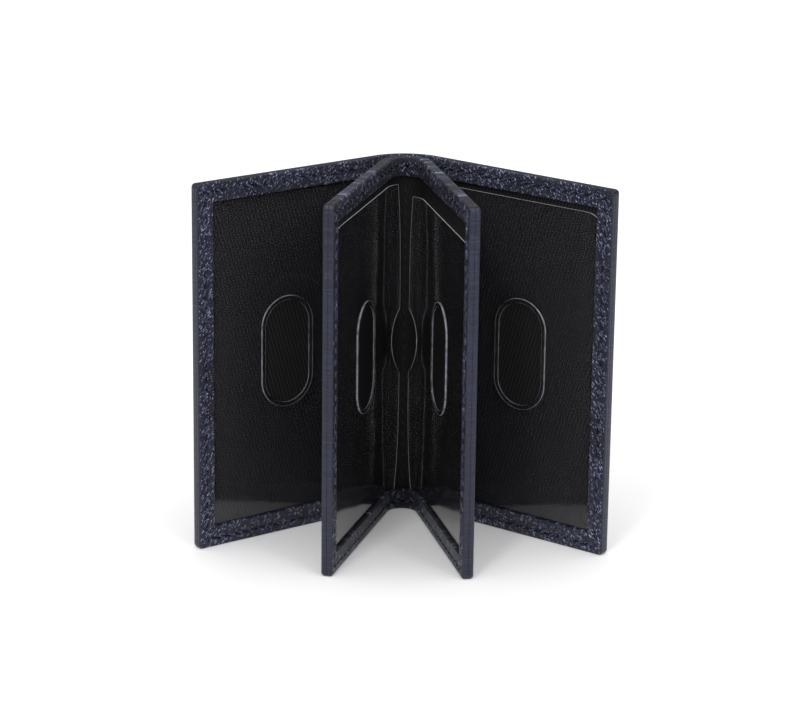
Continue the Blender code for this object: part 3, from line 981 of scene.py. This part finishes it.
def pressed_board():
    material, tree, output = new_material("pressed_grey_board")
    place_in = add_node(tree, "ShaderNodeTexCoord").outputs["Object"]
    fibre = add_node(tree, "ShaderNodeTexNoise", Vector=place_in, Scale=1 / FIBRE, Detail=6.0)
    colour = add_node(tree, "ShaderNodeValToRGB", _0=fibre.outputs[0])
    colour_steps(colour, [(0.3, "#5C5853"), (0.7, "#8B867E")])
    bump = add_node(
        tree, "ShaderNodeBump", Strength=0.5, Distance=0.05 * MM, Height=fibre.outputs[0]
    )
    shader = add_node(
        tree,
        "ShaderNodeBsdfPrincipled",
        Base_Color=colour.outputs[0],
        Roughness=0.9,
        Normal=bump.outputs[0],
        IOR=1.5,
    )
    tree.links.new(shader.outputs[0], output.inputs["Surface"])
    return material


# Each pair runs from painted shade in the twist's grooves to a painted highlight on its ridges
WAXED_THREAD = waxed_thread("waxed_navy_thread", "#1A1D2F", "#585D7C")
BLACK_THREAD = waxed_thread("waxed_black_thread", "#060607", "#121213")
GREY_BOARD = pressed_board()

# %% [markdown]
# Each flat piece takes its finish, and three kinds of face are told apart by where they are: the
# cut edges of a film, the rim of its thumb hole, and the outer edge of the leather.

# %% Give each flat piece its finish
SMOOTH_EDGE = 0.55 * MM  # how far in from a piece's edge the leather is pulled smooth
EDGE_STEEPNESS = 0.3  # a film face whose normal is flatter than this is part of a cut edge

finishes = {
    COVER_LEATHER_FINISH: [cover_leather],
    NAVY_LEATHER: [cover_frame],
    INSERT_LEATHER: [front_frame, back_frame],
    BLACK_TWILL: [cover_lining],
    INSERT_TWILL_PAINTED_DARKER: [front_lining, back_lining],
    WAXED_THREAD: [cover_seam, front_seam, back_seam],
    CLEAR_PVC: [*cover_windows.values(), *leaf_windows.values()],
}
for finish, pieces in finishes.items():
    for piece in pieces:
        piece.data.materials.clear()
        piece.data.materials.append(finish)
for window in finishes[CLEAR_PVC]:
    window.data.materials.append(CUT_EDGE)
    window.data.materials.append(WELDED_RIM)
    hole_reach = COVER_HOLE if window in cover_windows.values() else LEAF_HOLE
    for face in window.data.polygons:
        if abs(face.normal.z) < EDGE_STEEPNESS:
            face.material_index = 1 if outside_rim(face.center, hole_reach, RIM_BORDER) else 2
for piece in (cover_leather, cover_frame, front_frame, back_frame):
    piece.data.materials.append(TURNED_LEATHER)
    reach = max(v.co.x for v in piece.data.vertices)
    for face in piece.data.polygons:
        if face.center.x > reach - SMOOTH_EDGE:
            face.material_index = 1
for side in SIDES:
    board = frame["nodes"][f"{side}_cover_board"]
    board.data.materials.clear()
    board.data.materials.append(GREY_BOARD)
print("finishes given to", sum(len(p) for p in finishes.values()), "flat pieces")

# %% [markdown]
# Now the holder is put together. Each flat piece is copied, with a mesh of its own, and folded up
# onto its panel. A cover's layers also step down by about a millimetre where the stiff board ends,
# which is why the spine is soft. Each cover's film rides on that cover's body; the other pieces
# stay where they are folded, on no body.

# %% Fold the pieces up
OTHER_HIDE = 90 * MM  # the right side is cut from another part of the hide, so its grain differs


def ease(share):
    share = min(max(share, 0.0), 1.0)
    return share * share * (3 - 2 * share)


def fold_up(flat, name, panel, face, sense, wrap, sink=0.0):
    """A copy of a flat piece on its panel. Its show face lies at that depth, and sense is +1 or -1
    for which way its thickness goes. sink is how far it steps down onto the soft spine."""
    mesh = flat.data.copy()
    piece = bpy.data.objects.new(name, mesh)
    bpy.context.scene.collection.objects.link(piece)
    layout = mesh.uv_layers.get("flat") or mesh.uv_layers.new(name="flat")
    for loop in mesh.loops:
        point = mesh.vertices[loop.vertex_index].co
        along = point.x + CUT_SPARE + (OTHER_HIDE if panel["side"] > 0 else 0)
        layout.data[loop.index].uv = (along * UV_PER_METRE, point.y * UV_PER_METRE)
    for vertex in mesh.vertices:
        reach, height, thick = vertex.co
        depth = face + sense * thick
        if depth > COVER_LEATHER / 2 + TINY:
            depth -= sink * ease(1 - reach / FRAME_START)
        vertex.co = place(panel, reach, height, depth, wrap)
    if panel["out"].cross(UP).dot(panel["deep"]) * sense < 0:
        mesh.flip_normals()
    return piece


COVER_FRAME_FACE = 2.7 * MM  # depths of the show faces in a cover, from the leather's middle
COVER_FILM_FACE = 1.7 * MM
COVER_CLOTH_FACE = 1.4 * MM
FRAME_SINK = 0.9 * MM
LINING_SINK = 0.6 * MM


def bend_at_hinge(piece):
    """Bakes a piece's placement into its own mesh."""
    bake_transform(piece)


for side in SIDES:
    panel = panels[f"{side}_cover"]
    back = (-COVER_LEATHER / 2, 1, COVER_WRAP)
    front = (COVER_FRAME_FACE, -1, COVER_WRAP)
    leather = fold_up(cover_leather, f"{side}_cover_shell", panel, *back, FRAME_SINK)
    strips = fold_up(cover_frame, f"{side}_cover_inner_frame", panel, *front, FRAME_SINK)
    cloth = fold_up(
        cover_lining, f"{side}_cover_cloth", panel, COVER_CLOTH_FACE, -1, COVER_WRAP, LINING_SINK
    )
    inner_seam = fold_up(cover_seam, f"{side}_cover_inner_stitches", panel, *front, FRAME_SINK)
    outer_seam = fold_up(cover_seam, f"{side}_cover_outer_stitches", panel, *back)
    window = fold_up(
        cover_windows[side], f"{side}_cover_film", panel, COVER_FILM_FACE, -1, COVER_WRAP
    )
    for piece in (leather, strips, cloth, inner_seam, outer_seam):
        bend_at_hinge(piece)
    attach(window, f"{side}_cover")
    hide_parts(f"{side}_cover_leather", "spine_leather")
    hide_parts(f"{side}_cover_frame", "spine_top_strip", "spine_bottom_strip")
    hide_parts(f"{side}_cover_lining", "spine_lining")
    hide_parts(f"{side}_cover_inner_thread")
    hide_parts(f"{side}_cover_outer_thread")
    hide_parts(f"{side}_cover_window")

# %% [markdown]
# The leaves follow in the same way. A leaf is a window on both faces, so it has two of each piece,
# laid back to back. Each piece runs on round the fold and meets its twin from the other leaf there.

# %% Fold the insert's leaves up
for side in SIDES:
    panel = panels[f"{side}_leaf"]
    near = faces_of[side]
    far = near + LEAF_THICKNESS
    for face, base, sense, leather, seam, cloth, wrap, cloth_wrap in (
        ("front", near, 1, front_frame, front_seam, front_lining, FRONT_WRAP, FRONT_LINING_WRAP),
        ("back", far, -1, back_frame, back_seam, back_lining, BACK_WRAP, BACK_LINING_WRAP),
    ):
        film = leaf_windows[side if face == "front" else "back"]
        start = f"{side}_leaf_{face}"
        strips = fold_up(leather, f"{start}_strips", panel, base, sense, wrap)
        stitches = fold_up(seam, f"{start}_stitches", panel, base, sense, wrap)
        film_face = base + sense * LEAF_FILM_FACE
        window = fold_up(film, f"{start}_film", panel, film_face, sense, FILM_WRAPS[face])
        cloth_face = base + sense * LEAF_CLOTH_FACE
        lining = fold_up(cloth, f"{start}_cloth", panel, cloth_face, sense, cloth_wrap)
        for piece, its_wrap in (
            (strips, wrap),
            (stitches, wrap),
            (window, FILM_WRAPS[face]),
            (lining, cloth_wrap),
        ):
            bend_at_hinge(piece)
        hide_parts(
            f"{start}_frame", f"fold_{face}_top_strip", f"fold_{face}_bottom_strip"
        )
        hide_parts(f"{start}_thread")
        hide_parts(f"{start}_window")
        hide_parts(f"{start}_lining", f"fold_{face}_lining")

# %% [markdown]
# The insert is sewn to the spine along one upright seam at the bottom of its fold. The flat blanks
# have all been used then, so they are removed.

# %% Seam in the fold
SEAM_RADIUS = FOLD_RADIUS + 1.49 * MM  # so that only the top of each stitch shows
SEAM_END = 8 * MM  # the seam stops this far from the top and the bottom
seam_row = stitch_row(Vector((0, SEAM_END, 0)), Vector((0, HEIGHT - SEAM_END, 0)), 0.0)
seam_row.name = "insert_seam_stitches"
seam_row.data.transform(
    Matrix.Translation((0, SEAM.y - FOLD_CENTRE + SEAM_RADIUS, 0))
    @ Matrix.Rotation(math.radians(90), 4, "X")
)
bpy.ops.object.shade_smooth()
seam_row.data.materials.append(BLACK_THREAD)
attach(seam_row, "spine")
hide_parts("insert_seam_thread")

for pieces in finishes.values():
    for flat in pieces:
        bpy.data.objects.remove(flat)

# %% [markdown]
# The set is a studio's white sweep seen from a little above: a pale floor, an even bright surround,
# one very wide soft lamp overhead, and two smaller ones from the upper left and the upper right
# that give the leather its glints.

# %% Floor, light and camera
PAPER_TOOTH = 1.0 * MM


def white_floor():
    material, tree, output = new_material("matt_white_paper")
    place_in = add_node(tree, "ShaderNodeTexCoord").outputs["Object"]
    tooth = add_node(tree, "ShaderNodeTexNoise", Vector=place_in, Scale=1 / PAPER_TOOTH, Detail=3.0)
    bump = add_node(
        tree, "ShaderNodeBump", Strength=0.05, Distance=0.05 * MM, Height=tooth.outputs[0]
    )
    shader = add_node(
        tree,
        "ShaderNodeBsdfPrincipled",
        Base_Color=linear("#F2F2F3"),
        Roughness=0.6,
        Normal=bump.outputs[0],
        IOR=1.45,
        Emission_Color=(1, 1, 1, 1),
        Emission_Strength=0.07,  # lifts the shadows, as paper lit from below does
    )
    tree.links.new(shader.outputs[0], output.inputs["Surface"])
    return material


FLOOR_RADIUS = 3.0
bpy.ops.object.select_all(action="DESELECT")
bpy.ops.mesh.primitive_circle_add(vertices=96, radius=FLOOR_RADIUS, fill_type="NGON")
floor = bpy.context.object
floor.name = "floor"
floor.location.z = -TINY
floor.data.materials.append(white_floor())

AMBIENT = 0.24  # what the studio walls send back, beside what the camera sees
world = bpy.data.worlds.new("bright_surround")
bpy.context.scene.world = world
world.use_nodes = True
surround = world.node_tree
surround.nodes.clear()
seen = add_node(surround, "ShaderNodeLightPath").outputs["Is Camera Ray"]
level = add_node(surround, "ShaderNodeMapRange", _0=seen, _3=AMBIENT, _4=1.0)
sky = add_node(surround, "ShaderNodeBackground", Color=(1, 1, 1, 1), Strength=level.outputs[0])
surround.links.new(sky.outputs[0], surround.nodes.new("ShaderNodeOutputWorld").inputs[0])


def soft_light(name, towards, spread, strength):
    """A far lamp that shines the same everywhere; spread is how wide it looks, in degrees."""
    lamp = bpy.data.lights.new(name, "SUN")
    lamp.angle = math.radians(spread)
    lamp.energy = strength
    holder = bpy.data.objects.new(name, lamp)
    holder.rotation_euler = Vector(towards).to_track_quat("-Z", "Y").to_euler()
    bpy.context.scene.collection.objects.link(holder)


soft_light("overhead_softbox", (0.0, 0.12, -1), 110, 2.9)
soft_light("key_softbox", (0.35, 0.8, -0.9), 10, 0.6)
soft_light("side_softbox", (-0.6, 0.7, -0.6), 12, 0.32)

CAMERA_PLACE = Vector((5.6, -799.9, 302.3)) * MM
CAMERA_TURN = math.radians(-0.464)
CAMERA_TILT = math.radians(17.285)
CAMERA_ROLL = math.radians(0.73)
CAMERA_LENS = 135.6
ahead = Vector(
    (
        math.sin(CAMERA_TURN) * math.cos(CAMERA_TILT),
        math.cos(CAMERA_TURN) * math.cos(CAMERA_TILT),
        -math.sin(CAMERA_TILT),
    )
)
camera_data = bpy.data.cameras.new("camera")
camera_data.lens = CAMERA_LENS
camera = bpy.data.objects.new("camera", camera_data)
camera.location = CAMERA_PLACE
camera.rotation_euler = (
    Matrix.Rotation(CAMERA_ROLL, 4, -ahead) @ ahead.to_track_quat("-Z", "Y").to_matrix().to_4x4()
).to_euler()
bpy.context.scene.collection.objects.link(camera)
bpy.context.scene.camera = camera
bpy.context.scene.view_settings.view_transform = "Standard"
